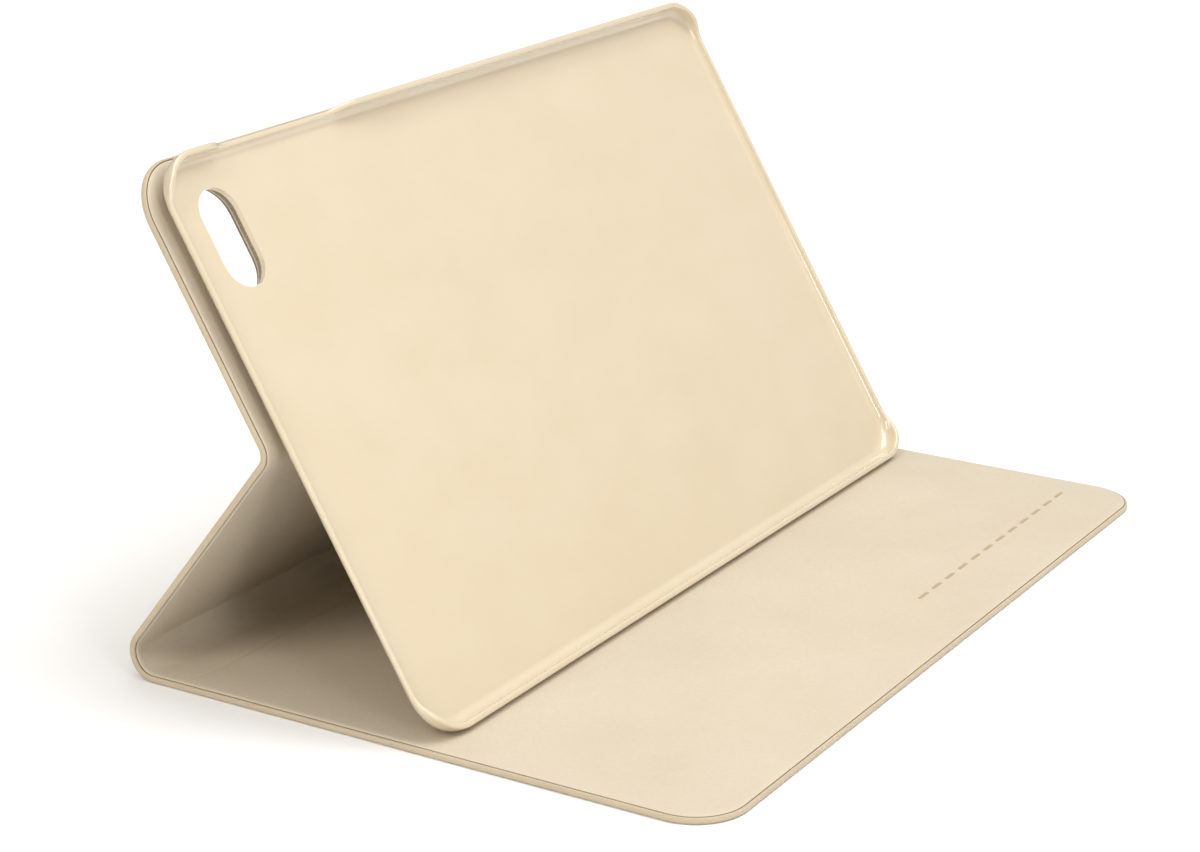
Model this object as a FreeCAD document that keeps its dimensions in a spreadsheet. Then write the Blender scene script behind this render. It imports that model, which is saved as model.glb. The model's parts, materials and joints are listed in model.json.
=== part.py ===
"""Folio case for an 8.4 inch tablet, propped open as a stand.

Frame: millimetres, +X along the hinges, +Y from the front cover's free edge to the spine, +Z up.
The origin is on the table, under the middle of the case.

The case is one long strip of flat panels: front cover, two spine strips, stand panel and upper
panel. Each panel is a skin with a turned-up rim, a stiffener that lies in that rim, and a lining
on top. A panel's own frame starts at its lower fold: Y runs along the panel to the next fold, and Z
points out of its lining. Only the upper panel carries the hard tray, on a foam pad.
"""
import FreeCAD, Part
import math
import os

import Sketcher

SIZES = {
    "case_length": 218.4,
    "cover_depth": 127.0,
    "spine_front_width": 11.2,
    "spine_rear_width": 7.6,
    "stand_length": 61.6,
    "upper_length": 63.0,
    "spine_heading": 60.7,
    "stand_heading": 127.7,
    "upper_heading": 58.6,
    "corner_radius": 12.0,
    "skin_gauge": 0.6,
    "board_gauge": 0.8,
    "lining_gauge": 0.4,
    "rim_width": 0.9,
    "fold_gap": 1.8,
    "lining_inset": 0.3,
    "magnet_radius": 5.0,
    "magnet_reach": 14.0,
    "magnet_spread": 76.0,
    "pad_gauge": 1.8,
    "pad_start": 6.0,
    "pad_end": 57.0,
    "pad_half_length": 97.0,
    "pad_corner": 5.0,
    "tray_length": 215.6,
    "tray_width": 128.4,
    "tray_centre": -2.17,
    "tray_wall": 1.3,
    "tray_floor": 1.2,
    "tray_height": 5.0,
    "tray_end_height": 2.75,
    "tray_corner": 10.5,
    "tray_back_round": 3.5,
    "tray_inner_round": 2.2,
    "tray_rim_round": 0.45,
    "tray_wave_radius": 9.0,
    "end_gap_half": 52.5,
    "key_gap_half": 17.0,
    "key_gap_centre": -66.0,
    "key_gap_height": 2.6,
    "camera_along": -93.0,
    "camera_up": 43.0,
    "camera_half_straight": 5.0,
    "camera_radius": 6.0,
    "camera_margin": 1.0,
}

# How many camera margins wider than the tray's window each layer behind the tray is cut.
WINDOW_MARGINS = {"skin": 2, "stiffener": 1.5, "lining": 1, "pad": 1}

SCRATCH_CELL = "D1"  # of the sheet, empty except while number() works out an expression
CLOSE = 1e-3  # mm, coordinates and volumes nearer than this count as the same
BOX_SLACK = 0.1  # mm, how much larger a curved edge's box may come out than the edge

doc = FreeCAD.newDocument("TabletCase")
sheet = doc.addObject("Spreadsheet::Sheet", "Sizes")
for row, (name, value) in enumerate(SIZES.items(), start=1):
    sheet.set(f"A{row}", name)
    sheet.set(f"B{row}", str(value))
    sheet.setAlias(f"B{row}", name)
doc.recompute()


def cell(name):
    """The expression that reads one size from the sheet."""
    return f"Sizes.{name}"


def number(expression):
    """An expression's value with the sheet's present sizes, used to draw a sketch near its place."""
    sheet.set(SCRATCH_CELL, "=" + expression.replace("Sizes.", ""))
    sheet.recompute()
    value = float(sheet.get(SCRATCH_CELL))
    sheet.clear(SCRATCH_CELL)
    return value


SKIN_TOP = cell("skin_gauge")
BOARD_TOP = f"({cell('skin_gauge')} + {cell('board_gauge')})"
LINING_TOP = f"({BOARD_TOP} + {cell('lining_gauge')})"
HALF_LENGTH = f"{cell('case_length')} / 2"

# Fold lines, as expressions of Y and Z on the outer surface, from the cover's free edge.
MIDDLE = (
    f"(({cell('cover_depth')} + {cell('spine_front_width')}"
    f" + {cell('spine_rear_width')} * cos({cell('spine_heading')})) / 2)"
)
COVER_EDGE = (f"-{MIDDLE}", "0")


def step(start, length, heading):
    """The fold line that lies one panel further along, at that panel's heading."""
    y_end = f"({start[0]} + {cell(length)} * cos({heading}))"
    z_end = f"({start[1]} + {cell(length)} * sin({heading}))"
    return y_end, z_end


COVER_HINGE = step(COVER_EDGE, "cover_depth", "0")
SPINE_FOLD = step(COVER_HINGE, "spine_front_width", "0")
STAND_HINGE = step(SPINE_FOLD, "spine_rear_width", cell("spine_heading"))
STAND_FOLD = step(STAND_HINGE, "stand_length", cell("stand_heading"))


def place(item, fold, heading, lift="0", along="0"):
    """Stand an item on a fold line, turned to a heading, then moved along and off the panel."""
    y_base = f"{fold[0]} + {along} * cos({heading}) - {lift} * sin({heading})"
    z_base = f"{fold[1]} + {along} * sin({heading}) + {lift} * cos({heading})"
    item.setExpression(
        "Placement",
        f"create(<<placement>>; create(<<vector>>; 0; {y_base}; {z_base});"
        f" create(<<rotation>>; create(<<vector>>; 1; 0; 0); {heading}))",
    )


def new_body(label):
    body = doc.addObject("PartDesign::Body", label)
    body.Label = label
    return body


def new_sketch(body, role, name, height="0"):
    """A sketch on one of the body's own origin planes, raised by a height along its normal."""
    sketch = body.newObject("Sketcher::SketchObject", f"{body.Name}_{name}")
    plane = next(p for p in body.Origin.OriginFeatures if p.Role == role)
    sketch.AttachmentSupport = [(plane, "")]
    sketch.MapMode = "FlatFace"
    if height != "0":
        sketch.setExpression("AttachmentOffset.Base.z", height)
    return sketch


def bind(sketch, kind, places, expression):
    """Add a dimension to a sketch and bind it to an expression."""
    index = sketch.addConstraint(Sketcher.Constraint(kind, *places, number(expression)))
    sketch.setExpression(f"Constraints[{index}]", expression)


def draw_polygon(sketch, corners):
    """A closed outline of straight lines, each corner held by two dimensions from the origin."""
    points = [FreeCAD.Vector(number(x), number(y), 0) for x, y in corners]
    count = len(points)
    for i in range(count):
        sketch.addGeometry(Part.LineSegment(points[i], points[(i + 1) % count]))
    for i in range(count):
        following = (i + 1) % count
        sketch.addConstraint(Sketcher.Constraint("Coincident", i, 2, following, 1))
    for i, (x, y) in enumerate(corners):
        bind(sketch, "DistanceX", (-1, 1, i, 1), x)
        bind(sketch, "DistanceY", (-1, 1, i, 1), y)


def draw_rounded_rectangle(sketch, half_x, low_y, high_y, radius):
    """A rectangle about the Y axis with four equal round corners."""
    x, low, high, r = (number(e) for e in (half_x, low_y, high_y, radius))
    centres = [(x - r, low + r), (x - r, high - r), (r - x, high - r), (r - x, low + r)]
    normal = FreeCAD.Vector(0, 0, 1)
    for i, (cx, cy) in enumerate(centres):
        before = math.radians(90 * (i - 1))
        nx, ny = centres[(i + 1) % 4]
        centre = FreeCAD.Vector(cx, cy, 0)
        arc = Part.ArcOfCircle(Part.Circle(centre, normal, r), before, before + math.pi / 2)
        out = FreeCAD.Vector(math.cos(before + math.pi / 2), math.sin(before + math.pi / 2), 0) * r
        sketch.addGeometry(arc)
        sketch.addGeometry(Part.LineSegment(centre + out, FreeCAD.Vector(nx, ny, 0) + out))
    for i in range(8):
        sketch.addConstraint(Sketcher.Constraint("Tangent", i, 2, (i + 1) % 8, 1))
    for i in (1, 5):
        sketch.addConstraint(Sketcher.Constraint("Vertical", i))
    for i in (3, 7):
        sketch.addConstraint(Sketcher.Constraint("Horizontal", i))
    for i in (2, 4, 6):
        sketch.addConstraint(Sketcher.Constraint("Equal", 0, i))
    bind(sketch, "Radius", (0,), radius)
    bind(sketch, "DistanceX", (-1, 1, 1, 1), half_x)
    bind(sketch, "DistanceX", (5, 1, -1, 1), half_x)
    bind(sketch, "DistanceY", (-1, 1, 3, 1), high_y)
    bind(sketch, "DistanceY", (-1, 1, 7, 1), low_y)


def draw_slot(sketch, centre_x, centre_y, half_straight, radius):
    """A slot that runs along Y: two straight sides and two half-round ends."""
    x, y, half, r = (number(e) for e in (centre_x, centre_y, half_straight, radius))
    normal = FreeCAD.Vector(0, 0, 1)
    top = Part.Circle(FreeCAD.Vector(x, y + half, 0), normal, r)
    foot = Part.Circle(FreeCAD.Vector(x, y - half, 0), normal, r)
    sketch.addGeometry(Part.ArcOfCircle(top, 0, math.pi))
    left = FreeCAD.Vector(x - r, y, 0)
    right = FreeCAD.Vector(x + r, y, 0)
    rise = FreeCAD.Vector(0, half, 0)
    sketch.addGeometry(Part.LineSegment(left + rise, left - rise))
    sketch.addGeometry(Part.ArcOfCircle(foot, math.pi, 2 * math.pi))
    sketch.addGeometry(Part.LineSegment(right - rise, right + rise))
    for i in range(4):
        sketch.addConstraint(Sketcher.Constraint("Tangent", i, 2, (i + 1) % 4, 1))
    sketch.addConstraint(Sketcher.Constraint("Vertical", 1))
    bind(sketch, "Radius", (0,), radius)
    bind(sketch, "DistanceX", (-1, 1, 0, 3), centre_x)
    bind(sketch, "DistanceY", (-1, 1, 0, 3), f"{centre_y} + {half_straight}")
    bind(sketch, "DistanceY", (-1, 1, 2, 3), f"{centre_y} - {half_straight}")


def draw_wave(sketch, centre, half_gap, low, radius, roof):
    """A gap in a wall seen from the side: a level floor, a smooth S up at each end, open above.

    Each S is two equal arcs that meet half way up, from the floor to the roof line.
    """
    mid, half, z0, r, z1 = (number(e) for e in (centre, half_gap, low, radius, roof))
    turn = math.acos(1 - (z1 - z0) / (2 * r))
    run = r * math.sin(turn)
    normal = FreeCAD.Vector(0, 0, 1)

    def arc(cx, cy, first, last):
        circle = Part.Circle(FreeCAD.Vector(cx, cy, 0), normal, r)
        sketch.addGeometry(Part.ArcOfCircle(circle, first, last))

    up, down = math.pi / 2, 3 * math.pi / 2
    sketch.addGeometry(
        Part.LineSegment(FreeCAD.Vector(mid - half, z0, 0), FreeCAD.Vector(mid + half, z0, 0))
    )
    arc(mid + half, z0 + r, down, down + turn)
    arc(mid + half + 2 * run, z1 - r, up, up + turn)
    sketch.addGeometry(
        Part.LineSegment(
            FreeCAD.Vector(mid + half + 2 * run, z1, 0), FreeCAD.Vector(mid - half - 2 * run, z1, 0)
        )
    )
    arc(mid - half - 2 * run, z1 - r, up - turn, up)
    arc(mid - half, z0 + r, down - turn, down)
    for first, end, second, start in (
        (0, 2, 1, 1), (1, 2, 2, 2), (4, 1, 5, 1), (5, 2, 0, 1)
    ):
        sketch.addConstraint(Sketcher.Constraint("Tangent", first, end, second, start))
    for first, end, second, start in ((2, 1, 3, 1), (3, 2, 4, 2)):
        sketch.addConstraint(Sketcher.Constraint("Tangent", first, end, second, start))
    for i in (2, 4, 5):
        sketch.addConstraint(Sketcher.Constraint("Equal", 1, i))
    sketch.addConstraint(Sketcher.Constraint("Horizontal", 0))
    bind(sketch, "Radius", (1,), radius)
    bind(sketch, "DistanceY", (-1, 1, 0, 1), low)
    bind(sketch, "DistanceY", (-1, 1, 3, 1), roof)
    bind(sketch, "DistanceX", (-1, 1, 0, 1), f"{centre} - {half_gap}")
    bind(sketch, "DistanceX", (-1, 1, 0, 2), f"{centre} + {half_gap}")


def edges_where(shape, test):
    """Names of the edges whose middle point passes the test and that run along Z."""
    names = []
    for i, edge in enumerate(shape.Edges, start=1):
        box = edge.BoundBox
        if box.XLength < CLOSE and box.YLength < CLOSE and test(edge.CenterOfMass):
            names.append(f"Edge{i}")
    return names


def add_fillet(body, base, names, radius, label):
    if not names:
        raise RuntimeError(f"{body.Label}: no edge to round for {label}")
    fillet = body.newObject("PartDesign::Fillet", f"{body.Name}_{label}")
    fillet.Base = (base, names)
    fillet.setExpression("Radius", radius)
    doc.recompute()
    return fillet


def pocket(body, sketch, label, depth=None, both_ways=False, reverse=False):
    """Cut a sketch out of a body and make sure that it took something away."""
    before = body.Tip.Shape.Volume
    cut = body.newObject("PartDesign::Pocket", f"{body.Name}_{label}")
    cut.Profile = sketch
    if depth is None:
        cut.Type = "ThroughAll"
    else:
        cut.setExpression("Length", depth)
    cut.Midplane = both_ways
    cut.Reversed = reverse
    doc.recompute()
    if cut.Shape.isNull() or cut.Shape.Volume > before - CLOSE:
        raise RuntimeError(f"{body.Label}: {label} cut nothing")
    return cut


def plate(label, start, end, low, high, half_width, mitres, free_end=None, radius=None):
    """A flat layer from start to end along Y and from low to high in Z.

    mitres holds, for the start and the end, how far the edge is set back per unit of height, so that
    two panels can fold towards their linings. free_end is the end whose two corners are round.
    """
    body = new_body(label)
    profile = new_sketch(body, "YZ_Plane", "profile")
    first, last = mitres
    corners = [
        (f"{start} + {first} * {low}", low),
        (f"{end} - {last} * {low}", low),
        (f"{end} - {last} * {high}", high),
        (f"{start} + {first} * {high}", high),
    ]
    draw_polygon(profile, corners)
    pad = body.newObject("PartDesign::Pad", f"{label}_pad")
    pad.Profile = profile
    pad.setExpression("Length", f"2 * ({half_width})")
    pad.Midplane = True
    doc.recompute()
    if free_end is not None:
        y_end = number(free_end)
        names = edges_where(pad.Shape, lambda p: abs(p.y - y_end) < CLOSE)
        add_fillet(body, pad, names, radius, "corners")
    return body


def skin(label, start, end, mitres, free_end=None):
    """A panel's outer skin: a sheet whose rim is turned up round the stiffener."""
    body = new_body(label)
    profile = new_sketch(body, "YZ_Plane", "profile")
    first, last = mitres
    corners = [
        (start, "0"),
        (end, "0"),
        (f"{end} - {last} * {BOARD_TOP}", BOARD_TOP),
        (f"{start} + {first} * {BOARD_TOP}", BOARD_TOP),
    ]
    draw_polygon(profile, corners)
    pad = body.newObject("PartDesign::Pad", f"{label}_pad")
    pad.Profile = profile
    pad.setExpression("Length", cell("case_length"))
    pad.Midplane = True
    doc.recompute()

    low_y, high_y = board_reach(start, end, mitres, free_end)
    half = f"({HALF_LENGTH} - {cell('rim_width')})"
    recess = new_sketch(body, "XY_Plane", "recess", BOARD_TOP)
    outline = [(f"-{half}", low_y), (half, low_y), (half, high_y), (f"-{half}", high_y)]
    draw_polygon(recess, outline)
    tip = pocket(body, recess, "recess_cut", cell("board_gauge"))
    if free_end is not None:
        y_board = number(low_y if free_end == start else high_y)
        inner = edges_where(tip.Shape, lambda p: abs(p.y - y_board) < CLOSE)
        inner_radius = f"{cell('corner_radius')} - {cell('rim_width')}"
        tip = add_fillet(body, tip, inner, inner_radius, "recess_corners")
        y_end = number(free_end)
        outer = edges_where(tip.Shape, lambda p: abs(p.y - y_end) < CLOSE)
        add_fillet(body, tip, outer, cell("corner_radius"), "corners")
    return body


def board_reach(start, end, mitres, free_end):
    """Where a stiffener starts and ends: inside the rim at a free edge, short of a fold elsewhere."""
    first, last = mitres
    low_y = f"({start} + {first} * {BOARD_TOP} + {cell('fold_gap')})"
    high_y = f"({end} - {last} * {BOARD_TOP} - {cell('fold_gap')})"
    if free_end == start:
        low_y = f"({start} + {cell('rim_width')})"
    if free_end == end:
        high_y = f"({end} - {cell('rim_width')})"
    return low_y, high_y


def stiffener(label, start, end, mitres, free_end=None):
    """The board or flexible strip that fills a skin's recess."""
    low_y, high_y = board_reach(start, end, mitres, free_end)
    half = f"({HALF_LENGTH} - {cell('rim_width')})"
    end_of_board = {start: low_y, end: high_y}.get(free_end)
    radius = f"{cell('corner_radius')} - {cell('rim_width')}"
    return plate(label, low_y, high_y, SKIN_TOP, BOARD_TOP, half, ("0", "0"), end_of_board, radius)


def lining(label, start, end, mitres, free_end=None):
    """The microfibre sheet on top, set in a little from the panel's edges."""
    inset = cell("lining_inset")
    low_y = f"({start} + {inset})" if free_end == start else start
    high_y = f"({end} - {inset})" if free_end == end else end
    half = f"({HALF_LENGTH} - {inset})"
    end_of_lining = {start: low_y, end: high_y}.get(free_end)
    radius = f"{cell('corner_radius')} - {inset}"
    return plate(label, low_y, high_y, BOARD_TOP, LINING_TOP, half, mitres, end_of_lining, radius)


def cut_camera_window(body, margin):
    """The slot that the tablet's rear camera looks through, wider in the outer layers."""
    sketch = new_sketch(body, "XY_Plane", "camera_window")
    radius = f"{cell('camera_radius')} + {margin} * {cell('camera_margin')}"
    draw_slot(
        sketch, cell("camera_along"), cell("camera_up"), cell("camera_half_straight"), radius
    )
    pocket(body, sketch, "camera_cut", both_ways=True)


# How far a fold's two panels are set back per unit of height: the tangent of half its angle.
SPINE_MITRE = f"tan({cell('spine_heading')} / 2)"
STAND_MITRE = f"tan(({cell('stand_heading')} - {cell('spine_heading')}) / 2)"

PANELS = {
    "cover": (COVER_EDGE, "0", "cover_depth", ("0", "0"), "start"),
    "spine_front": (COVER_HINGE, "0", "spine_front_width", ("0", SPINE_MITRE), None),
    "spine_rear": (
        SPINE_FOLD, cell("spine_heading"), "spine_rear_width", (SPINE_MITRE, STAND_MITRE), None,
    ),
    "stand": (STAND_HINGE, cell("stand_heading"), "stand_length", (STAND_MITRE, "0"), None),
    "upper": (STAND_FOLD, cell("upper_heading"), "upper_length", ("0", "0"), "end"),
}
STIFFENERS = {
    "cover": "board", "spine_front": "strip", "spine_rear": "strip",
    "stand": "board", "upper": "board",
}

parts = {}


def add_part(body, fold, heading, lift="0", along="0"):
    place(body, fold, heading, lift, along)
    parts[body.Label] = body


def add_panel(name):
    """The three layers of one panel, on its fold line."""
    fold, heading, length, mitres, free = PANELS[name]
    start, end = "0", cell(length)
    free_end = {"start": start, "end": end}.get(free)
    layers = (
        skin(f"{name}_skin", start, end, mitres, free_end),
        stiffener(f"{name}_{STIFFENERS[name]}", start, end, mitres, free_end),
        lining(f"{name}_lining", start, end, mitres, free_end),
    )
    for layer in layers:
        add_part(layer, fold, heading)
    return layers


def add_cover_magnets(board):
    """Two disc magnets let into the front cover's board, near its free edge."""
    sketch = new_sketch(board, "XY_Plane", "magnet_seats")
    radius = number(cell("magnet_radius"))
    discs = []
    for i, side in enumerate((-1, 1)):
        centre = (f"{side} * {cell('magnet_spread')}", cell("magnet_reach"))
        point = FreeCAD.Vector(number(centre[0]), number(centre[1]), 0)
        sketch.addGeometry(Part.Circle(point, FreeCAD.Vector(0, 0, 1), radius))
        bind(sketch, "Radius", (i,), cell("magnet_radius"))
        bind(sketch, "DistanceX", (-1, 1, i, 3), centre[0])
        bind(sketch, "DistanceY", (-1, 1, i, 3), centre[1])
        disc = doc.addObject("Part::Cylinder", f"magnet_{i + 1}")
        disc.setExpression("Radius", cell("magnet_radius"))
        disc.setExpression("Height", cell("board_gauge"))
        disc.setExpression("Placement.Base.x", centre[0])
        disc.setExpression("Placement.Base.y", centre[1])
        disc.setExpression("Placement.Base.z", SKIN_TOP)
        discs.append(disc)
    pocket(board, sketch, "magnet_cut", both_ways=True)
    magnets = doc.addObject("Part::Compound", "cover_magnets")
    magnets.Label = "cover_magnets"
    magnets.Links = discs
    add_part(magnets, COVER_EDGE, "0")


def add_tray_pad():
    """The foam pad that glues the tray to the upper panel's lining."""
    body = new_body("tray_pad")
    outline = new_sketch(body, "XY_Plane", "outline")
    draw_rounded_rectangle(
        outline, cell("pad_half_length"), cell("pad_start"), cell("pad_end"), cell("pad_corner")
    )
    pad = body.newObject("PartDesign::Pad", "tray_pad_pad")
    pad.Profile = outline
    pad.setExpression("Length", cell("pad_gauge"))
    doc.recompute()
    cut_camera_window(body, WINDOW_MARGINS["pad"])
    add_part(body, STAND_FOLD, cell("upper_heading"), lift=LINING_TOP)


def add_tray():
    """The hard tray: a floor with a rounded back, low end walls and a gap for the side keys.

    Its frame starts at the back of its middle, and the camera window is placed from the stand fold.
    """
    body = new_body("tray_shell")
    half_x, half_y = f"{cell('tray_length')} / 2", f"{cell('tray_width')} / 2"
    outline = new_sketch(body, "XY_Plane", "outline")
    draw_rounded_rectangle(outline, half_x, f"-{half_y}", half_y, cell("tray_corner"))
    pad = body.newObject("PartDesign::Pad", "tray_pad_out")
    pad.Profile = outline
    pad.setExpression("Length", cell("tray_height"))
    doc.recompute()
    back = [f"Edge{i}" for i, e in enumerate(pad.Shape.Edges, start=1) if e.BoundBox.ZMax < CLOSE]
    add_fillet(body, pad, back, cell("tray_back_round"), "back_round")

    inner_x, inner_y = f"({half_x} - {cell('tray_wall')})", f"({half_y} - {cell('tray_wall')})"
    bay = new_sketch(body, "XY_Plane", "bay", cell("tray_height"))
    corner = f"({cell('tray_corner')} - {cell('tray_wall')})"
    draw_rounded_rectangle(bay, inner_x, f"-{inner_y}", inner_y, corner)
    hollow = pocket(body, bay, "bay_cut", f"{cell('tray_height')} - {cell('tray_floor')}")
    floor_z = number(cell("tray_floor"))
    floor_edges = [
        f"Edge{i}"
        for i, e in enumerate(hollow.Shape.Edges, start=1)
        if abs(e.BoundBox.ZMax - floor_z) < CLOSE and abs(e.BoundBox.ZMin - floor_z) < CLOSE
    ]
    add_fillet(body, hollow, floor_edges, cell("tray_inner_round"), "floor_round")

    ends = new_sketch(body, "YZ_Plane", "end_gaps")
    draw_wave(
        ends, "0", cell("end_gap_half"), cell("tray_end_height"), cell("tray_wave_radius"),
        cell("tray_height"),
    )
    pocket(body, ends, "end_gaps_cut", both_ways=True)
    keys = new_sketch(body, "XZ_Plane", "key_gap")
    draw_wave(
        keys, cell("key_gap_centre"), cell("key_gap_half"), cell("key_gap_height"),
        cell("tray_wave_radius"), cell("tray_height"),
    )
    pocket(body, keys, "key_gap_cut")

    window = new_sketch(body, "XY_Plane", "camera_window")
    draw_slot(
        window, cell("camera_along"), f"({cell('camera_up')} - {cell('tray_centre')})",
        cell("camera_half_straight"), cell("camera_radius"),
    )
    pocket(body, window, "camera_cut", both_ways=True)
    lowest_rim = min(number(cell("key_gap_height")), number(cell("tray_end_height")))
    rim = [
        f"Edge{i}"
        for i, e in enumerate(body.Tip.Shape.Edges, start=1)
        if e.BoundBox.ZMin > lowest_rim - BOX_SLACK
    ]
    add_fillet(body, body.Tip, rim, cell("tray_rim_round"), "rim_round")

    lift = f"({LINING_TOP} + {cell('pad_gauge')})"
    add_part(body, STAND_FOLD, cell("upper_heading"), lift, cell("tray_centre"))


def check_document():
    """Stop if any object failed, or a sub-part's shape is missing or not valid."""
    for item in doc.Objects:
        if {"Invalid", "Error"} & set(item.State):
            raise RuntimeError(f"{item.Name}: {item.State}")
    for label, item in parts.items():
        if item.Shape.isNull() or not item.Shape.isValid():
            raise RuntimeError(f"{label}: no valid shape")


for panel in PANELS:
    built = add_panel(panel)
    if panel == "cover":
        add_cover_magnets(built[1])
    if panel == "upper":
        for layer, kind in zip(built, ("skin", "stiffener", "lining")):
            cut_camera_window(layer, WINDOW_MARGINS[kind])
add_tray_pad()
add_tray()
doc.recompute()
check_document()

os.makedirs("parts", exist_ok=True)
for label, item in parts.items():
    item.Shape.exportStep(os.path.join("parts", f"{label}.step"))
    print(f"{label:22s} {item.Shape.Volume:10.1f} mm3")
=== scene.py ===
"""Looks of the folding tablet case: one leather-look sheet and one lining sheet run through all its folds.

The fold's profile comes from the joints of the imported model. Both sheets are built flat, as columns across
the case and rows along its length, and laid along that profile. The foam pad behind the tray is a mesh of
its own. Boards, strips, magnets and the tray stay CAD.
"""
import json
import math

import bpy
from mathutils import Matrix, Vector, noise


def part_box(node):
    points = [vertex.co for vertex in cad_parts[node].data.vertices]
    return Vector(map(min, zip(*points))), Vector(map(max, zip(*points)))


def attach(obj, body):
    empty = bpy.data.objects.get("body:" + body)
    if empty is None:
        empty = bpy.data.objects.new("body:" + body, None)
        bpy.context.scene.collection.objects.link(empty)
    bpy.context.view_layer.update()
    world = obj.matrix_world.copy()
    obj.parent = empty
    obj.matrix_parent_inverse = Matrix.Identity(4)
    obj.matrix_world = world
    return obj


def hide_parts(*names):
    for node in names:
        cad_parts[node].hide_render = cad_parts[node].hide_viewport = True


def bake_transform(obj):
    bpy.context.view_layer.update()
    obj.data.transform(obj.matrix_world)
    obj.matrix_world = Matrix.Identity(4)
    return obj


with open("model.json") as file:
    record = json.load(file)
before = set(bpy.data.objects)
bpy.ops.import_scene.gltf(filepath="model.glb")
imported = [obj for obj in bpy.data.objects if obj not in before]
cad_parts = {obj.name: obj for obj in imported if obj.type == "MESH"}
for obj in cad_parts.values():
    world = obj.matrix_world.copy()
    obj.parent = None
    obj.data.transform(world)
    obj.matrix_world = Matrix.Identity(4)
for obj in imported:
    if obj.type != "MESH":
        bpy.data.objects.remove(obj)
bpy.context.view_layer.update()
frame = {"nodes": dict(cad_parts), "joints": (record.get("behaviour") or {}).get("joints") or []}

MM = 0.001
JOINTS = {joint["name"]: joint for joint in frame["joints"]}

SKIN_THICKNESS = 0.6 * MM
LINING_TOP = 1.8 * MM           # a panel's whole thickness
CORNER_RADIUS = 12 * MM         # of the case's four outside corners
SKIN_RIM = 1.4 * MM             # the CAD skin's edge, which sets its highest point

# Radii at the three bends: the spine, the stand's foot and the stand's top.
BEND_RADII = (5.6 * MM, 6.0 * MM, 3.0 * MM)      # of the skin's outside face
CREASE_RADII = (7.0 * MM, 0.5 * MM, 4.8 * MM)    # of the lining's top
CREASE_FADE = 12 * MM           # the lining's creases soften over this distance from a side edge
COVER_SEAM = 5.2 * MM           # where the first seam lies, past the cover's hinge
BACK_SEAM = 27 * MM             # where the last seam lies, past the bend at the stand's foot
CRISP_ANGLE = math.radians(38)  # edges sharper than this stay crisp

# Edge profiles: (distance in from the outline, height above the outside face), both in millimetres.
SKIN_EDGE = ((1.6, 0), (0.7, 0), (0.42, 0.05), (0.2, 0.18), (0.06, 0.38), (0, 0.62), (0, 0.9), (0.05, 1.15),
             (0.15, 1.34), (0.32, 1.45), (0.5, 1.46), (0.66, 1.36), (0.9, 1.36), (0.9, 0.62), (1.6, 0.6))
SKIN_GROOVE = 10                # edge faces from this one on are the brown glazed groove beside the lining
LINING_EDGE = ((2.4, 1.4), (0.8, 1.4), (0.72, 1.44), (0.72, 1.5), (0.82, 1.6), (1.05, 1.7), (1.45, 1.77),
               (1.9, 1.8), (2.4, 1.8))


# ---------------------------------------------------------------- the fold's profile

def heading_vector(angle):
    """Unit vector of a heading in the side view, as (y, z)."""
    return Vector((math.cos(angle), math.sin(angle)))


def left_of(angle):
    """Unit vector to the left of a heading, which is the lining's side."""
    return Vector((-math.sin(angle), math.cos(angle)))


def joint_point(name):
    """A joint's place in the side view, as (y, z)."""
    return Vector(JOINTS[name]["pos_m"][1:])


def fold_angle(name):
    """How far a joint is folded at rest, in radians."""
    return math.radians(max(abs(limit) for limit in JOINTS[name]["range_deg"]))


class FoldPath:
    """Straight runs joined by arcs, through the given corners in the side view."""

    def __init__(self, corners, radii):
        self.runs = []
        self.length = 0.0
        heading = [math.atan2(*(b - a).yx) for a, b in zip(corners, corners[1:])]
        start = corners[0]
        for corner, radius, before, after in zip(corners[1:-1], radii, heading, heading[1:]):
            turn = after - before
            tangent = radius * math.tan(abs(turn) / 2)
            foot = corner - heading_vector(before) * tangent
            self._add(start, before, (foot - start).length, 0.0)
            self._add(foot, before, radius * abs(turn), math.copysign(radius, turn))
            start = corner + heading_vector(after) * tangent
        self._add(start, heading[-1], (corners[-1] - start).length, 0.0)

    def _add(self, start, heading, length, radius):
        self.runs.append((start, heading, length, radius, self.length))
        self.length += length

    def locate(self, u):
        """Which run holds distance u along the path, and how far along that run, from 0 to 1."""
        for index, (_, _, length, _, begun) in enumerate(self.runs):
            if u <= begun + length or index == len(self.runs) - 1:
                return index, (u - begun) / length

    def at(self, index, share, height):
        """The point a share of the way along a run, at a height to its left."""
        start, heading, length, radius, _ = self.runs[index]
        if not radius:
            return start + heading_vector(heading) * (share * length) + left_of(heading) * height
        centre = start + left_of(heading) * radius
        return centre - left_of(heading + share * length / radius) * (radius - height)

    def arc(self, number):
        """Where the path's arcs begin and end, as distances along it."""
        _, _, length, _, begun = self.runs[2 * number + 1]
        return begun, begun + length


def offset_corners(corners, height):
    """The corners of the same profile at a height to its left."""
    headings = [math.atan2(*(b - a).yx) for a, b in zip(corners, corners[1:])]
    moved = [corners[0] + left_of(headings[0]) * height]
    for corner, before, after in zip(corners[1:-1], headings, headings[1:]):
        half = (after - before) / 2
        moved.append(corner + left_of(before + half) * (height / math.cos(half)))
    return moved + [corners[-1] + left_of(headings[-1]) * height]


def case_corners():
    """The outside profile's corners in the side view, from the cover's free edge to the back's top edge."""
    low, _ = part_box("cover_skin")
    spine, foot, top = (joint_point(name) for name in ("spine_fold", "stand_hinge", "stand_fold"))
    upper_heading = fold_angle("spine_fold") + fold_angle("stand_hinge") - fold_angle("stand_fold")
    _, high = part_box("upper_skin")
    upper_length = (high.z - top.y - SKIN_RIM * math.cos(upper_heading)) / math.sin(upper_heading)
    return [Vector((low.y, 0)), spine, foot, top, top + heading_vector(upper_heading) * upper_length]


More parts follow.
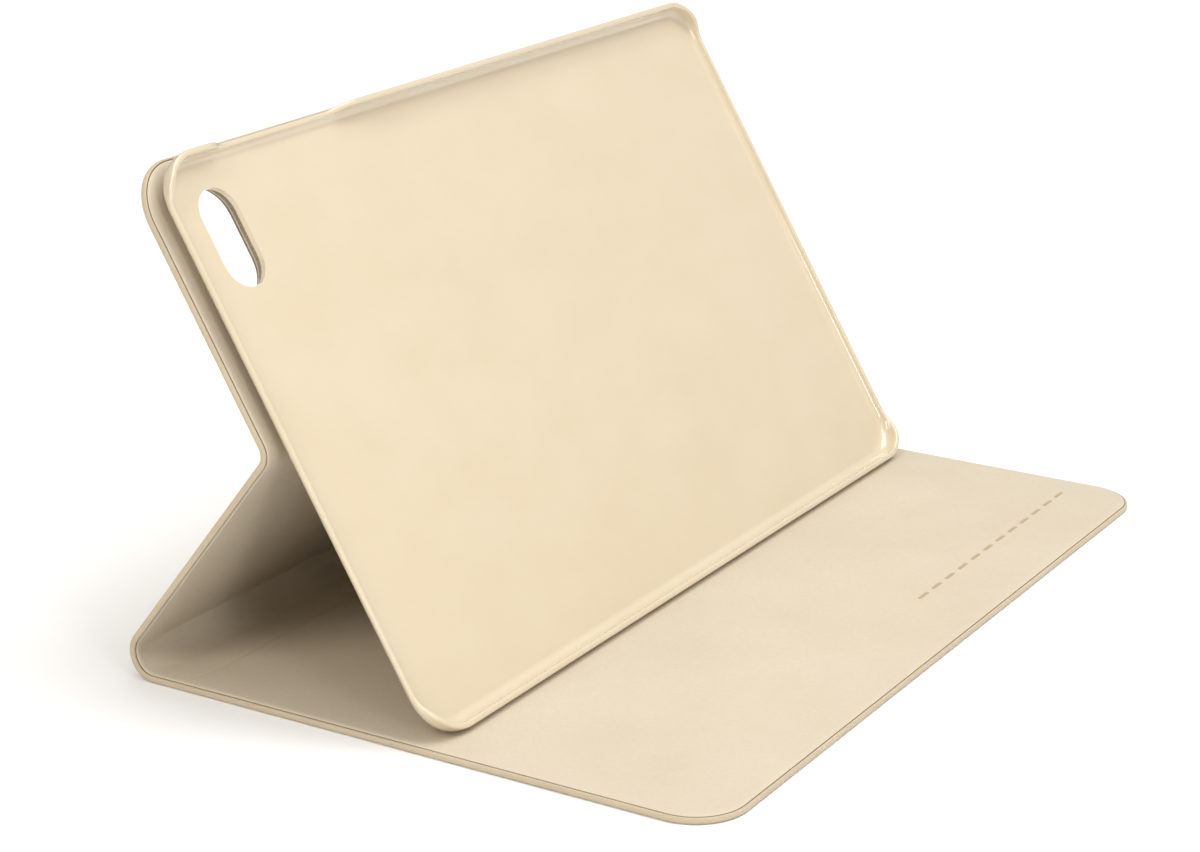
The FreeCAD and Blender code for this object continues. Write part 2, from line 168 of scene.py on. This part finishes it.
CORNERS = case_corners()
OUTSIDE = FoldPath(CORNERS, BEND_RADII)
CREASED = FoldPath(offset_corners(CORNERS, LINING_TOP), CREASE_RADII)
HALF_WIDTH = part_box("cover_skin")[1].x

COVER_HINGE_U = joint_point("cover_hinge").x - CORNERS[0].x
SEAMS = (0.0, COVER_HINGE_U + COVER_SEAM, (OUTSIDE.arc(0)[1] + OUTSIDE.arc(1)[0]) / 2,
         OUTSIDE.arc(1)[1] + BACK_SEAM, OUTSIDE.length)


OUTSIDE_FACE = 0.3 * MM         # skin points lower than this belong to its outside face
SKIN_UNEVEN = 0.04 * MM
SKIN_UNEVEN_FADE = 6 * MM       # from a side edge
LINING_UNEVEN = 0.05 * MM
HINGE_LINE_DEPTH = 0.1 * MM     # the pressed line over the cover's hinge
HINGE_LINE_WIDTH = 0.45 * MM
TOP_FACE = 0.02 * MM            # lining points nearer to its top than this belong to its top face


def smoothstep(t):
    """0 below 0, 1 above 1, and a smooth rise between."""
    t = min(max(t, 0.0), 1.0)
    return t * t * (3 - 2 * t)


def softness(x, u):
    """A slow unevenness, from -1 to 1, that both sides of a seam share."""
    return noise.noise(Vector((x, u, 0.3)) / (38 * MM)) + 0.35 * noise.noise(Vector((x, u, 4.1)) / (11 * MM))


def on_skin(x, u, height):
    """Where a point of the flat skin goes. Its outside face is a little uneven."""
    if height < OUTSIDE_FACE:
        inward = smoothstep((HALF_WIDTH - abs(x)) / SKIN_UNEVEN_FADE)
        height += SKIN_UNEVEN * (1 + softness(x, u)) * inward
    return Vector((x, *OUTSIDE.at(*OUTSIDE.locate(u), height)))


def lining_relief(x, u):
    """How far the lining's top stands above its plane."""
    relief = LINING_UNEVEN * softness(x, u)
    relief -= HINGE_LINE_DEPTH * math.exp(-((u - COVER_HINGE_U) / HINGE_LINE_WIDTH) ** 2)
    relief -= DASH_DEPTH * pressed_and_shaded(x, u)
    return relief


def on_lining(x, u, height):
    """Where a point of the flat lining goes. It is creased into the folds, less so near the side edges."""
    if height > LINING_TOP - TOP_FACE:
        height += lining_relief(x, u)
    index, share = OUTSIDE.locate(u)
    plain = OUTSIDE.at(index, share, height)
    creased = CREASED.at(index, share, height - LINING_TOP)
    return Vector((x, *plain.lerp(creased, smoothstep((HALF_WIDTH - abs(x)) / CREASE_FADE))))


# ---------------------------------------------------------------- the row of debossed dashes

DASH_ROW = 17.3 * MM            # from the cover's free edge
DASH_FIRST, DASH_LAST = 18.2 * MM, 97.0 * MM
DASH_COUNT = 12
DASH_HALF_LENGTH = 1.9 * MM
DASH_RADIUS = 0.42 * MM
DASH_DEPTH = 0.24 * MM
DASH_SOFT_EDGE = 0.22 * MM
DASH_NEAR = 2 * MM              # points further than this from the row are on no dash


def pressed_and_shaded(x, u):
    """1 inside a dash and 0 outside it, with a soft edge. It sets how deep the lining is pressed, and where
    its colour is darkened by painted shade.
    """
    return smoothstep(0.5 - dash_distance(x, u) / DASH_SOFT_EDGE)


def dash_distance(x, u):
    """Distance from a flat point to the nearest dash's edge, below zero inside it."""
    if abs(u - DASH_ROW) > DASH_NEAR:
        return 1.0
    pitch = (DASH_LAST - DASH_FIRST) / (DASH_COUNT - 1)
    nearest = min(max(round((x - DASH_FIRST) / pitch), 0), DASH_COUNT - 1)
    along = abs(x - DASH_FIRST - nearest * pitch) - DASH_HALF_LENGTH
    return math.hypot(max(along, 0.0), u - DASH_ROW) - DASH_RADIUS


# ---------------------------------------------------------------- sheets

def graded(start, end, coarse, zones=()):
    """Steps from start to end, coarse except in the zones, which are (from, to, step)."""
    cuts = sorted({start, end} | {c for a, b, _ in zones for c in (a, b) if start < c < end})
    steps = [start]
    for low, high in zip(cuts, cuts[1:]):
        middle = (low + high) / 2
        size = min([coarse] + [step for a, b, step in zones if a < middle < b])
        count = max(1, math.ceil((high - low) / size - 1e-6))
        steps += [low + (high - low) * (i + 1) / count for i in range(count)]
    return steps


class Row:
    """One row across the sheet. Round a free end's corners it is set by an angle instead of a distance."""

    def __init__(self, u, angle=math.pi / 2, side=0):
        self.u, self.angle, self.side = u, angle, side

    def at(self, inset):
        """(distance along the sheet, half width) of the outline's offset."""
        if not self.side:
            return self.u, HALF_WIDTH - inset
        radius = CORNER_RADIUS - inset
        along = CORNER_RADIUS - radius * math.cos(self.angle)
        return self.u + self.side * along, HALF_WIDTH - CORNER_RADIUS + radius * math.sin(self.angle)


def sheet_rows(start, end, coarse, zones):
    """Rows from start to end, with rounded corners where the sheet has a free end."""
    free_start, free_end = start <= 0, end >= OUTSIDE.length
    turns = [math.pi / 2 * i / 24 for i in range(24)]
    rows = [Row(0.0, turn, 1) for turn in turns] if free_start else []
    first = CORNER_RADIUS if free_start else start
    last = OUTSIDE.length - CORNER_RADIUS if free_end else end
    rows += [Row(u) for u in graded(first, last, coarse, zones)]
    if free_end:
        rows += [Row(OUTSIDE.length, turn, -1) for turn in reversed(turns)]
    return rows, free_start, free_end


class SheetMesh:
    """A closed mesh of a sheet with a rolled edge, from its rows, columns and edge profile."""

    def __init__(self, rows, columns, edge, place):
        self.rows, self.columns, self.place = rows, columns, place
        self.edge = [(inset * MM, height * MM) for inset, height in edge]
        self.points, self.flat, self.faces, self.kinds = [], [], [], []

    def vertex(self, x, u, height):
        self.points.append(self.place(x, u, height))
        self.flat.append((x, u, height))
        return len(self.points) - 1

    def face(self, corners, kind, flip=False):
        self.faces.append(list(reversed(corners)) if flip else list(corners))
        self.kinds.append(kind)

    def side(self, sign):
        """The rolled edge's vertices down one side: for each row, one for each edge point."""
        return [[self.vertex(sign * row.at(e)[1], row.at(e)[0], h) for e, h in self.edge]
                for row in self.rows]

    def end(self, row, left, right):
        """The same along a free end: for each column, one for each edge point."""
        inner = [[self.vertex(c * row.at(e)[1], row.at(e)[0], h) for e, h in self.edge]
                 for c in self.columns[1:-1]]
        return [left] + inner + [right]

    def grid(self, level, left, right, first, last):
        """The vertices of one face, row by row."""
        inset, height = self.edge[level]
        made = []
        for i, row in enumerate(self.rows):
            free = first if i == 0 else last if i == len(self.rows) - 1 else None
            if free:
                made.append([column[level] for column in free])
                continue
            u, half = row.at(inset)
            inner = [self.vertex(c * half, u, height) for c in self.columns[1:-1]]
            made.append([left[i][level]] + inner + [right[i][level]])
        return made

    def strip(self, lines, flip):
        """Edge faces between neighbouring lines of edge vertices."""
        for a, b in zip(lines, lines[1:]):
            for k in range(len(self.edge) - 1):
                self.face((a[k], b[k], b[k + 1], a[k + 1]), k, flip)

    def cap(self, low, high, left, right, flip):
        """Closes a cut end."""
        for j in range(len(low) - 1):
            self.face((low[j], high[j], high[j + 1], low[j + 1]), len(self.edge), flip)
        self.face(left, len(self.edge), flip)
        self.face(right, len(self.edge), not flip)

    def build(self, name, free_start, free_end):
        left, right = self.side(-1), self.side(1)
        first = self.end(self.rows[0], left[0], right[0]) if free_start else None
        last = self.end(self.rows[-1], left[-1], right[-1]) if free_end else None
        low = self.grid(0, left, right, first, last)
        high = self.grid(len(self.edge) - 1, left, right, first, last)
        for i in range(len(self.rows) - 1):
            for j in range(len(self.columns) - 1):
                self.face((low[i][j], low[i][j + 1], low[i + 1][j + 1], low[i + 1][j]), -1, True)
                self.face((high[i][j], high[i][j + 1], high[i + 1][j + 1], high[i + 1][j]),
                          len(self.edge) - 1)
        self.strip(right, False)
        self.strip(left, True)
        if free_start:
            self.strip(first, False)
        else:
            self.cap(low[0], high[0], left[0], right[0], True)
        if free_end:
            self.strip(last, True)
        else:
            self.cap(low[-1], high[-1], left[-1], right[-1], False)
        mesh = bpy.data.meshes.new(name)
        mesh.from_pydata(self.points, [], self.faces)
        flat = mesh.attributes.new("flat", "FLOAT_VECTOR", "POINT")
        flat.data.foreach_set("vector", [value for point in self.flat for value in point])
        # The dash mask, carried on the mesh for the lining's colour, which darkens inside the dashes as
        # painted shade.
        press_and_shade = mesh.attributes.new("pressed_and_shaded", "FLOAT", "POINT")
        press_and_shade.data.foreach_set("value", [pressed_and_shaded(x, u) for x, u, _ in self.flat])
        return mesh


def finish_mesh(mesh):
    """Smooth faces, with the cut and rolled edges kept crisp."""
    mesh.polygons.foreach_set("use_smooth", [True] * len(mesh.polygons))
    mesh.set_sharp_from_angle(angle=CRISP_ANGLE)
    mesh.update()


def add_object(name, mesh):
    made = bpy.data.objects.new(name, mesh)
    bpy.context.scene.collection.objects.link(made)
    return made


def fold_zones(step):
    """The bends, as zones of closely spaced rows."""
    return [(OUTSIDE.arc(n)[0] - 1 * MM, OUTSIDE.arc(n)[1] + 1 * MM, step) for n in range(3)]


def hinge_zone(step):
    return COVER_HINGE_U - 2.4 * MM, COVER_HINGE_U + 2.4 * MM, step


def even_columns(step):
    count = math.ceil(2 * HALF_WIDTH / step)
    return [2 * i / count - 1 for i in range(count + 1)]


def skin_sheet(number):
    """One of the skin's four lengths."""
    rows, free_start, free_end = sheet_rows(SEAMS[number], SEAMS[number + 1], 3 * MM,
                                            fold_zones(0.4 * MM) + [hinge_zone(0.25 * MM)])
    sheet = SheetMesh(rows, even_columns(3 * MM), SKIN_EDGE, on_skin)
    mesh = sheet.build(f"skin_{number + 1}", free_start, free_end)
    mesh.materials.append(MATERIALS["skin"])
    mesh.materials.append(MATERIALS["glaze"])
    groove = range(SKIN_GROOVE, len(SKIN_EDGE) - 1)
    mesh.polygons.foreach_set("material_index", [int(kind in groove) for kind in sheet.kinds])
    finish_mesh(mesh)
    return add_object(f"skin_{number + 1}", mesh)


def lining_sheet(number):
    """One of the lining's four lengths. The first holds the row of dashes."""
    zones = fold_zones(0.35 * MM) + [hinge_zone(0.2 * MM)]
    columns = even_columns(3 * MM)
    if number == 0:
        zones.append((DASH_ROW - 0.8 * MM, DASH_ROW + 0.8 * MM, 0.1 * MM))
        half = HALF_WIDTH - LINING_EDGE[-1][0] * MM
        margin = DASH_HALF_LENGTH + 2 * DASH_RADIUS
        dashes = ((DASH_FIRST - margin) / half, (DASH_LAST + margin) / half, 0.22 * MM / half)
        columns = graded(-1.0, 1.0, 3 * MM / half, [dashes])
    rows, free_start, free_end = sheet_rows(SEAMS[number], SEAMS[number + 1], 2.5 * MM, zones)
    sheet = SheetMesh(rows, columns, LINING_EDGE, on_lining)
    mesh = sheet.build(f"lining_{number + 1}", free_start, free_end)
    mesh.materials.append(MATERIALS["lining"])
    finish_mesh(mesh)
    return add_object(f"lining_{number + 1}", mesh)


# ---------------------------------------------------------------- materials

def srgb(red, green, blue):
    """A linear colour from 0 to 255 display values."""
    channels = (c / 255 for c in (red, green, blue))
    return tuple(c / 12.92 if c <= 0.04045 else ((c + 0.055) / 1.055) ** 2.4 for c in channels) + (1.0,)


class Nodes:
    """A small helper for building one material's node tree."""

    def __init__(self, name, **settings):
        self.material = bpy.data.materials.new(name)
        self.material.use_nodes = True
        self.tree = self.material.node_tree
        self.shader = self.tree.nodes["Principled BSDF"]
        for socket, value in settings.items():
            self.shader.inputs[socket.replace("_", " ")].default_value = value

    def node(self, kind, inputs=(), **properties):
        made = self.tree.nodes.new("ShaderNode" + kind)
        for name, value in properties.items():
            setattr(made, name, value)
        for socket, value in dict(inputs).items():
            self.set(made.inputs[socket], value)
        return made

    def set(self, socket, value):
        if isinstance(value, bpy.types.NodeSocket):
            self.tree.links.new(value, socket)
        else:
            socket.default_value = value

    def flat(self):
        """The piece's flat pattern, in metres, so that nothing stretches over a fold."""
        return self.node("Attribute", attribute_name="flat").outputs["Vector"]

    def solid(self):
        """The row frame, in metres."""
        return self.node("TexCoord").outputs["Object"]

    def scaled(self, vector, scale):
        return self.node("Mapping", {"Vector": vector, "Scale": scale}).outputs["Vector"]

    def noise(self, vector, size, detail=3.0, roughness=0.5):
        """Noise whose features are about this size in millimetres."""
        return self.node("TexNoise", {"Vector": vector, "Scale": 1000 / size, "Detail": detail,
                                      "Roughness": roughness}).outputs["Fac"]

    def cells(self, vector, size):
        """Distance from the nearest of many scattered points, this many millimetres apart."""
        return self.node("TexVoronoi", {"Vector": vector, "Scale": 1000 / size}).outputs["Distance"]

    def range(self, value, low, high, to_low, to_high):
        return self.node("MapRange", {"Value": value, "From Min": low, "From Max": high, "To Min": to_low,
                                      "To Max": to_high}).outputs["Result"]

    def mix(self, factor, a, b, blend="MIX"):
        made = self.node("Mix", {"Factor": factor}, data_type="RGBA", blend_type=blend)
        self.set(made.inputs[6], a)
        self.set(made.inputs[7], b)
        return made.outputs[2]

    def bump(self, height, strength, distance, under=None):
        inputs = {"Height": height, "Strength": strength, "Distance": distance}
        if under:
            inputs["Normal"] = under
        return self.node("Bump", inputs).outputs["Normal"]

    def finish(self, colour=None, roughness=None, normal=None):
        for socket, value in (("Base Color", colour), ("Roughness", roughness), ("Normal", normal)):
            if value is not None:
                self.set(self.shader.inputs[socket], value)
        return self.material


def skin_material():
    """Fine-grained synthetic leather: small pebbles, a few deeper pores and a slow change of shade."""
    n = Nodes("fine_grain_leather", Specular_IOR_Level=0.42)
    flat = n.flat()
    scatter = n.node("TexNoise", {"Vector": flat, "Scale": 900.0}).outputs["Color"]
    pebbles = n.cells(n.mix(0.12, flat, scatter), 0.75)
    fine = n.noise(flat, 0.28, 2.0)
    shade = n.noise(flat, 26, 3.0, 0.55)
    colour = n.mix(n.range(shade, 0.3, 0.7, 0, 1), srgb(201, 184, 157), srgb(209, 193, 167))
    colour = n.mix(n.range(pebbles, 0.45, 0.85, 0, 0.35), colour, srgb(180, 162, 131))
    normal = n.bump(pebbles, 0.6, 0.08 * MM)
    normal = n.bump(fine, 0.25, 0.03 * MM, normal)
    return n.finish(colour, n.range(fine, 0.2, 0.8, 0.44, 0.6), normal)


def glaze_material():
    """The brown edge paint in the groove between skin and lining."""
    n = Nodes("edge_glaze", Specular_IOR_Level=0.5)
    flat = n.flat()
    run = n.noise(flat, 1.6, 3.0)
    colour = n.mix(run, srgb(112, 90, 58), srgb(148, 122, 86))
    return n.finish(colour, n.range(run, 0.3, 0.7, 0.35, 0.5), n.bump(run, 0.4, 0.08 * MM))


def lining_material():
    """Smooth napped lining: very fine fibres, cloudy nap direction and a soft sheen. Inside the debossed
    dashes the colour is darker: painted shade in the recesses, together with the pressed lining's own darker
    colour.
    """
    n = Nodes("napped_lining", Specular_IOR_Level=0.3, Sheen_Weight=0.06, Sheen_Roughness=0.5,
              Sheen_Tint=srgb(255, 246, 228))
    flat = n.flat()
    cloud = n.noise(flat, 34, 4.0, 0.6)
    nap = n.noise(n.scaled(flat, (1.0, 0.45, 1.0)), 0.55, 4.0, 0.65)
    fibres = n.noise(n.scaled(flat, (1.0, 0.35, 1.0)), 0.16, 2.0)
    colour = n.mix(n.range(cloud, 0.3, 0.7, 0, 1), srgb(198, 186, 166), srgb(204, 193, 174))
    colour = n.mix(n.range(nap, 0.35, 0.75, 0.0, 0.3), colour, srgb(187, 173, 150))
    press_and_shade = n.node("Attribute", attribute_name="pressed_and_shaded").outputs["Fac"]
    # Painted shade: inside the debossed dashes the colour darkens, standing in for the shade in the recesses
    # as well as the pressed lining's own darker colour.
    colour = n.mix(press_and_shade, colour, srgb(172, 154, 126))
    normal = n.bump(nap, 0.3, 0.06 * MM)
    normal = n.bump(fibres, 0.22, 0.03 * MM, normal)
    return n.finish(colour, n.range(nap, 0.3, 0.7, 0.62, 0.78), normal)


def tray_material():
    """Glossy moulded plastic, with a faint ripple in the gloss and cloudy wipe marks."""
    n = Nodes("gloss_plastic", Coat_Weight=0.8, Coat_Roughness=0.03, Specular_IOR_Level=0.5)
    solid = n.solid()
    wiped = n.noise(n.scaled(solid, (1.0, 2.2, 1.0)), 22, 4.0, 0.6)
    ripple = n.noise(solid, 4.5, 1.0)
    colour = n.mix(n.range(wiped, 0.3, 0.7, 0, 1), srgb(212, 196, 168), srgb(215, 200, 173))
    return n.finish(colour, n.range(wiped, 0.3, 0.7, 0.11, 0.15), n.bump(ripple, 0.06, 0.1 * MM))


def board_material():
    """Grey-brown fibre board, with flecks."""
    n = Nodes("fibre_board", Specular_IOR_Level=0.2)
    solid = n.solid()
    flecks = n.noise(n.scaled(solid, (1.0, 0.5, 1.0)), 0.7, 5.0, 0.7)
    colour = n.mix(n.range(flecks, 0.35, 0.7, 0, 1), srgb(150, 140, 124), srgb(112, 102, 88))
    return n.finish(colour, n.range(flecks, 0.3, 0.7, 0.85, 0.95), n.bump(flecks, 0.5, 0.08 * MM))


def strip_material():
    """Thin extruded stiffening strip, with fine lines along it."""
    n = Nodes("stiffening_strip", Specular_IOR_Level=0.4)
    lines = n.noise(n.scaled(n.solid(), (0.02, 1.0, 1.0)), 0.3, 3.0)
    colour = n.mix(lines, srgb(140, 128, 110), srgb(156, 144, 126))
    return n.finish(colour, n.range(lines, 0.3, 0.7, 0.5, 0.65), n.bump(lines, 0.3, 0.03 * MM))


def pad_material():
    """Closed-cell foam tape: small round cells."""
    n = Nodes("foam_tape", Specular_IOR_Level=0.2)
    cells = n.cells(n.solid(), 0.35)
    colour = n.mix(n.range(cells, 0.1, 0.6, 0, 1), srgb(112, 100, 80), srgb(160, 146, 120))
    return n.finish(colour, n.range(cells, 0.1, 0.6, 0.95, 0.8), n.bump(cells, 0.6, 0.12 * MM))


def magnet_material():
    """Nickel plate with a fine turned finish."""
    n = Nodes("nickel_plate", Metallic=1.0)
    turned = n.noise(n.scaled(n.solid(), (1.0, 0.05, 1.0)), 0.2, 2.0)
    colour = n.mix(turned, srgb(178, 178, 182), srgb(206, 206, 208))
    return n.finish(colour, n.range(turned, 0.3, 0.7, 0.22, 0.4), n.bump(turned, 0.2, 0.01 * MM))


def floor_material():
    """A plain pale tabletop."""
    n = Nodes("pale_table", Specular_IOR_Level=0.15)
    grain = n.noise(n.solid(), 60, 2.0)
    colour = n.mix(grain, (0.90, 0.90, 0.905, 1), (0.92, 0.92, 0.925, 1))
    return n.finish(colour, n.range(grain, 0, 1, 0.8, 0.9))


MATERIALS = {"skin": skin_material(), "glaze": glaze_material(), "lining": lining_material(),
             "tray": tray_material(), "board": board_material(), "strip": strip_material(),
             "pad": pad_material(), "magnet": magnet_material()}


def dress_cad_nodes():
    """Each CAD node whose name ends in a known word gets that word's material in all its slots."""
    kinds = {"board": "board", "strip": "strip", "magnets": "magnet", "pad": "pad", "shell": "tray"}
    for name, node in frame["nodes"].items():
        kind = kinds.get(name.rsplit("_", 1)[-1])
        if kind:
            for slot in node.material_slots:
                slot.link = "OBJECT"
                slot.material = MATERIALS[kind]


# ---------------------------------------------------------------- the camera window

WINDOW_X = -93 * MM
WINDOW_UP = 43 * MM             # from the stand fold, along the back
WINDOW_HALF_STRAIGHT = 5 * MM
WINDOW_RADIUS = 6 * MM
SKIN_MARGIN = 2 * MM            # how much wider the skin is cut than the tray
LINING_MARGIN = 1 * MM          # and the lining and the pad
SKIN_CUT_ROUND = 0.28 * MM
LINING_CUT_ROUND = 0.15 * MM
LINING_THICKNESS = 0.4 * MM


def slot_outline(radius, points=16):
    """A slot's outline across the case: straight sides along the back and round ends, as (x, along)."""
    outline = []
    for end in (1, -1):
        for i in range(points + 1):
            turn = math.pi * i / points
            along = WINDOW_HALF_STRAIGHT + radius * math.sin(turn)
            outline.append((radius * math.cos(turn) * end, end * along))
    return outline


def on_back(x, along, height):
    """A point given across the case, along the upper panel from the stand fold, and off its outside face."""
    top, end = CORNERS[3:]
    heading = math.atan2(*(end - top).yx)
    return Vector((x, *(top + heading_vector(heading) * along + left_of(heading) * height)))


def stacked_rings(name, rings):
    """A closed mesh through rings of points, lowest first, that all have the same count."""
    ring = len(rings[0])
    faces = []
    for level in range(len(rings) - 1):
        for i in range(ring):
            a, b = level * ring + i, level * ring + (i + 1) % ring
            faces.append((a, b, b + ring, a + ring))
    count = ring * len(rings)
    faces += [list(reversed(range(ring))), list(range(count - ring, count))]
    mesh = bpy.data.meshes.new(name)
    mesh.from_pydata([point for points in rings for point in points], [], faces)
    return mesh


def window_cutter(profile):
    """A closed tool for the window, through the heights of its profile of (height, radius)."""
    rings = [[on_back(WINDOW_X + x, WINDOW_UP + along, height) for x, along in slot_outline(radius)]
             for height, radius in profile]
    return add_object("window_cutter", stacked_rings("window_cutter", rings))


def cut_window(piece, profile):
    """Cuts the camera window through a sheet and rounds the cut."""
    cutter = window_cutter(profile)
    change = piece.modifiers.new("window", "BOOLEAN")
    change.operation, change.solver, change.object = "DIFFERENCE", "EXACT", cutter
    cut = bpy.data.meshes.new_from_object(piece.evaluated_get(bpy.context.evaluated_depsgraph_get()))
    piece.modifiers.clear()
    piece.data = cut
    bpy.data.objects.remove(cutter)
    finish_mesh(cut)


def rounded_cut(bottom, top, radius, rounding):
    """A cutter's profile that leaves both faces' edges rounded."""
    arc = [(rounding * (1 - math.sin(t)), rounding * (1 - math.cos(t))) for t in
           (math.pi / 2 * i / 5 for i in range(6))]
    lower = [(bottom + up, radius + out) for up, out in reversed(arc)]
    upper = [(top - up, radius + out) for up, out in arc]
    return [(bottom - 1 * MM, lower[0][1])] + lower + upper + [(top + 1 * MM, upper[-1][1])]


# ---------------------------------------------------------------- the foam pad behind the tray

PAD_START, PAD_END = 6 * MM, 57 * MM             # from the stand fold, along the back
PAD_HALF_LENGTH = 97 * MM
PAD_CORNER = 5 * MM
PAD_THICKNESS = 1.8 * MM
PAD_PINCH = 0.3 * MM            # the free sides draw in between the two glued faces
PAD_WAVER = 0.12 * MM           # of the knife cut, in and out along the sides
PAD_RINGS = 9
PAD_STEP = 2.5 * MM             # between outline points
PAD_CORNER_STEPS = 8
PAD_WAVER_SIZE = 7 * MM


def pad_outline():
    """The pad's rounded rectangle as (x, along, and the way out of it), with evenly spaced points."""
    middle, half = (PAD_START + PAD_END) / 2, (PAD_END - PAD_START) / 2
    corners = ((1, 1), (-1, 1), (-1, -1), (1, -1))
    centres = [(side * (PAD_HALF_LENGTH - PAD_CORNER), middle + end * (half - PAD_CORNER))
               for side, end in corners]
    outline = []
    for quarter, centre in enumerate(centres):
        for i in range(PAD_CORNER_STEPS + 1):
            way = heading_vector(math.pi / 2 * (quarter + i / PAD_CORNER_STEPS))
            outline.append((Vector(centre) + way * PAD_CORNER, way))
        following = Vector(centres[(quarter + 1) % len(centres)]) + way * PAD_CORNER
        start = outline[-1][0]
        count = math.ceil((following - start).length / PAD_STEP)
        outline += [(start.lerp(following, i / count), way) for i in range(1, count)]
    return outline


def foam_pad():
    """Foam tape glued on both faces: its cut sides pinch in at mid height and waver along their length."""
    outline, rings = pad_outline(), []
    for level in range(PAD_RINGS):
        share = level / (PAD_RINGS - 1)
        pinch = PAD_PINCH * math.sin(math.pi * share)
        ring = []
        for spot, way in outline:
            waver = PAD_WAVER * (1 + noise.noise(Vector((*spot, share * 3 * MM)) / PAD_WAVER_SIZE)) / 2
            x, along = spot - way * (pinch + waver)
            ring.append(on_back(x, along, LINING_TOP + share * PAD_THICKNESS))
        rings.append(ring)
    pad = add_object("foam_pad", stacked_rings("foam_pad", rings))
    pad.data.materials.append(MATERIALS["pad"])
    cut_window(pad, rounded_cut(LINING_TOP, LINING_TOP + PAD_THICKNESS,
                                WINDOW_RADIUS + LINING_MARGIN, LINING_CUT_ROUND))
    return pad


def add_pad():
    """The pad rides on the tray's body and stands for the CAD pad."""
    pad = foam_pad()
    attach(pad, "tray_holder")
    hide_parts("tray_pad")


# ---------------------------------------------------------------- the sheets in place of the CAD skins and linings


def blend_sheet(piece):
    """Bakes the sheet's placement into its mesh. Each length of sheet crosses one joint."""
    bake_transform(piece)


SKIN_NODES = (("cover_skin",), ("spine_front_skin",), ("spine_rear_skin", "stand_skin"), ("upper_skin",))
LINING_NODES = (("cover_lining",), ("spine_front_lining",), ("spine_rear_lining", "stand_lining"),
                ("upper_lining",))


def add_sheets():
    for number in range(4):
        skin, lining = skin_sheet(number), lining_sheet(number)
        if number == 3:
            cut_window(skin, rounded_cut(0, SKIN_THICKNESS, WINDOW_RADIUS + SKIN_MARGIN, SKIN_CUT_ROUND))
            cut_window(lining, rounded_cut(LINING_TOP - LINING_THICKNESS, LINING_TOP,
                                           WINDOW_RADIUS + LINING_MARGIN, LINING_CUT_ROUND))
        blend_sheet(skin)
        blend_sheet(lining)
        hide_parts(*SKIN_NODES[number])
        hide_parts(*LINING_NODES[number])


# ---------------------------------------------------------------- stage

FLOOR_REACH = 1.6
CAMERA_LENS, CAMERA_SENSOR = 87.93, 36
CAMERA_SHIFT = (0.0159, -0.0114)
CAMERA_RIGHT = Vector((0.51757, -0.85561, 0.00648))
CAMERA_UP = Vector((0.26341, 0.16654, 0.9502))
CAMERA_BACK = Vector((-0.81408, -0.49009, 0.31157))
DOME_HORIZON, DOME_TOP = 0.3, 0.75
WARM, WARMER = (1, 0.99, 0.97), (1, 0.95, 0.84)


def add_floor():
    mesh = bpy.data.meshes.new("floor")
    corners = [(x * FLOOR_REACH, y * FLOOR_REACH, 0) for x, y in ((-1, -1), (1, -1), (1, 1), (-1, 1))]
    mesh.from_pydata(corners, [], [(0, 1, 2, 3)])
    mesh.materials.append(floor_material())
    add_object("floor", mesh)


def add_camera():
    """From the left and a little above, with a moderately long lens."""
    data = bpy.data.cameras.new("camera")
    data.lens, data.sensor_width = CAMERA_LENS, CAMERA_SENSOR
    data.shift_x, data.shift_y = CAMERA_SHIFT
    camera = add_object("camera", data)
    turn = Matrix((CAMERA_RIGHT, CAMERA_UP, CAMERA_BACK)).transposed().to_4x4()
    camera.matrix_world = Matrix.Translation((-0.5469, CORNERS[0].x - 0.2330, 0.2455)) @ turn
    bpy.context.scene.camera = camera


def add_light(name, place, target, size, power, colour=(1, 1, 1)):
    data = bpy.data.lights.new(name, "AREA")
    data.shape, data.size, data.size_y = "RECTANGLE", *size
    data.energy, data.color = power, colour
    lamp = add_object(name, data)
    aim = (Vector(target) - Vector(place)).to_track_quat("-Z", "Y")
    lamp.matrix_world = Matrix.Translation(place) @ aim.to_matrix().to_4x4()


def add_world():
    """A studio dome that lights more from overhead than from the horizon, and is itself seen as white."""
    world = bpy.data.worlds.new("studio")
    bpy.context.scene.world = world
    world.use_nodes = True
    tree = world.node_tree
    direction = tree.nodes.new("ShaderNodeTexCoord").outputs["Generated"]
    parts = tree.nodes.new("ShaderNodeSeparateXYZ")
    fade = tree.nodes.new("ShaderNodeMapRange")
    fades = {"From Min": 0.0, "From Max": 0.9, "To Min": DOME_HORIZON, "To Max": DOME_TOP}
    for socket, value in fades.items():
        fade.inputs[socket].default_value = value
    tree.links.new(direction, parts.inputs["Vector"])
    tree.links.new(parts.outputs["Z"], fade.inputs["Value"])
    seen = tree.nodes.new("ShaderNodeLightPath").outputs["Is Camera Ray"]
    strength = tree.nodes.new("ShaderNodeMath")
    strength.operation = "MAXIMUM"
    tree.links.new(fade.outputs["Result"], strength.inputs[0])
    tree.links.new(seen, strength.inputs[1])
    tree.links.new(strength.outputs[0], tree.nodes["Background"].inputs["Strength"])
    tree.nodes["Background"].inputs["Color"].default_value = (1, 1, 1, 1)


def add_lights():
    """One large key light from above, and two narrow ones whose reflections draw the tray's edges."""
    add_light("key", (0.8, -1.0, 2.8), (0, 0, 0), (2.4, 2.4), 66, WARM)
    add_light("front_left", (-0.8, -1.4, 0.55), (-0.05, 0, 0.03), (0.3, 0.7), 5.5)
    add_light("left", (-1.2, 0.1, 1.0), (0, 0, 0.03), (0.2, 0.8), 7.5, WARMER)


add_sheets()
add_pad()
dress_cad_nodes()
add_floor()
add_camera()
add_world()
add_lights()
bpy.context.scene.view_settings.view_transform = "Standard"
